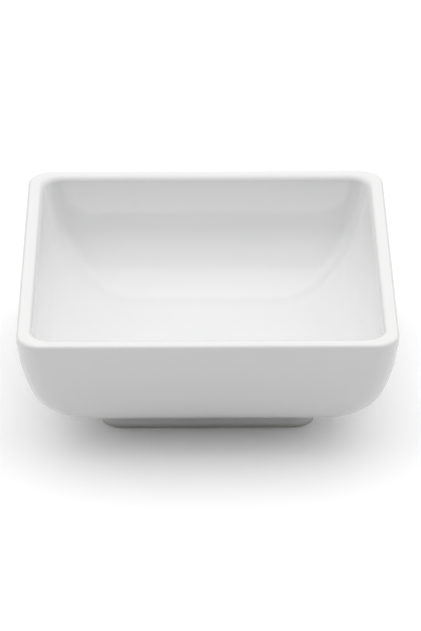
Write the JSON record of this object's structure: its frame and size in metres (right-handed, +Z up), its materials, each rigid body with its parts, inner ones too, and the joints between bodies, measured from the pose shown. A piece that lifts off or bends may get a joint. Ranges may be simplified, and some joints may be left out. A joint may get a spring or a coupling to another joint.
{
  "type": "soy sauce dish",
  "caption": "Small square sauce dish of glazed white ware, with curved walls, soft corners, a flat rounded rim and a square foot ring, for soy sauce or dips.",
  "frame": {"origin": "middle of the dish at the level of the standing edge of the foot ring", "axes": "+Z up out of the bowl; the sides lie along X and Y; the picture looks along +Y"},
  "size_m": [0.08, 0.08, 0.03],
  "materials": {
    "biscuit_clay": "dry matt fired white clay",
    "white_glaze": "glossy clear-white glaze"
  },
  "bodies": {
    "root": {"bowl_body": "biscuit_clay", "foot_ring": "biscuit_clay", "glaze_coat": "white_glaze", "recess_glaze": "white_glaze"}
  },
  "joints": []
}
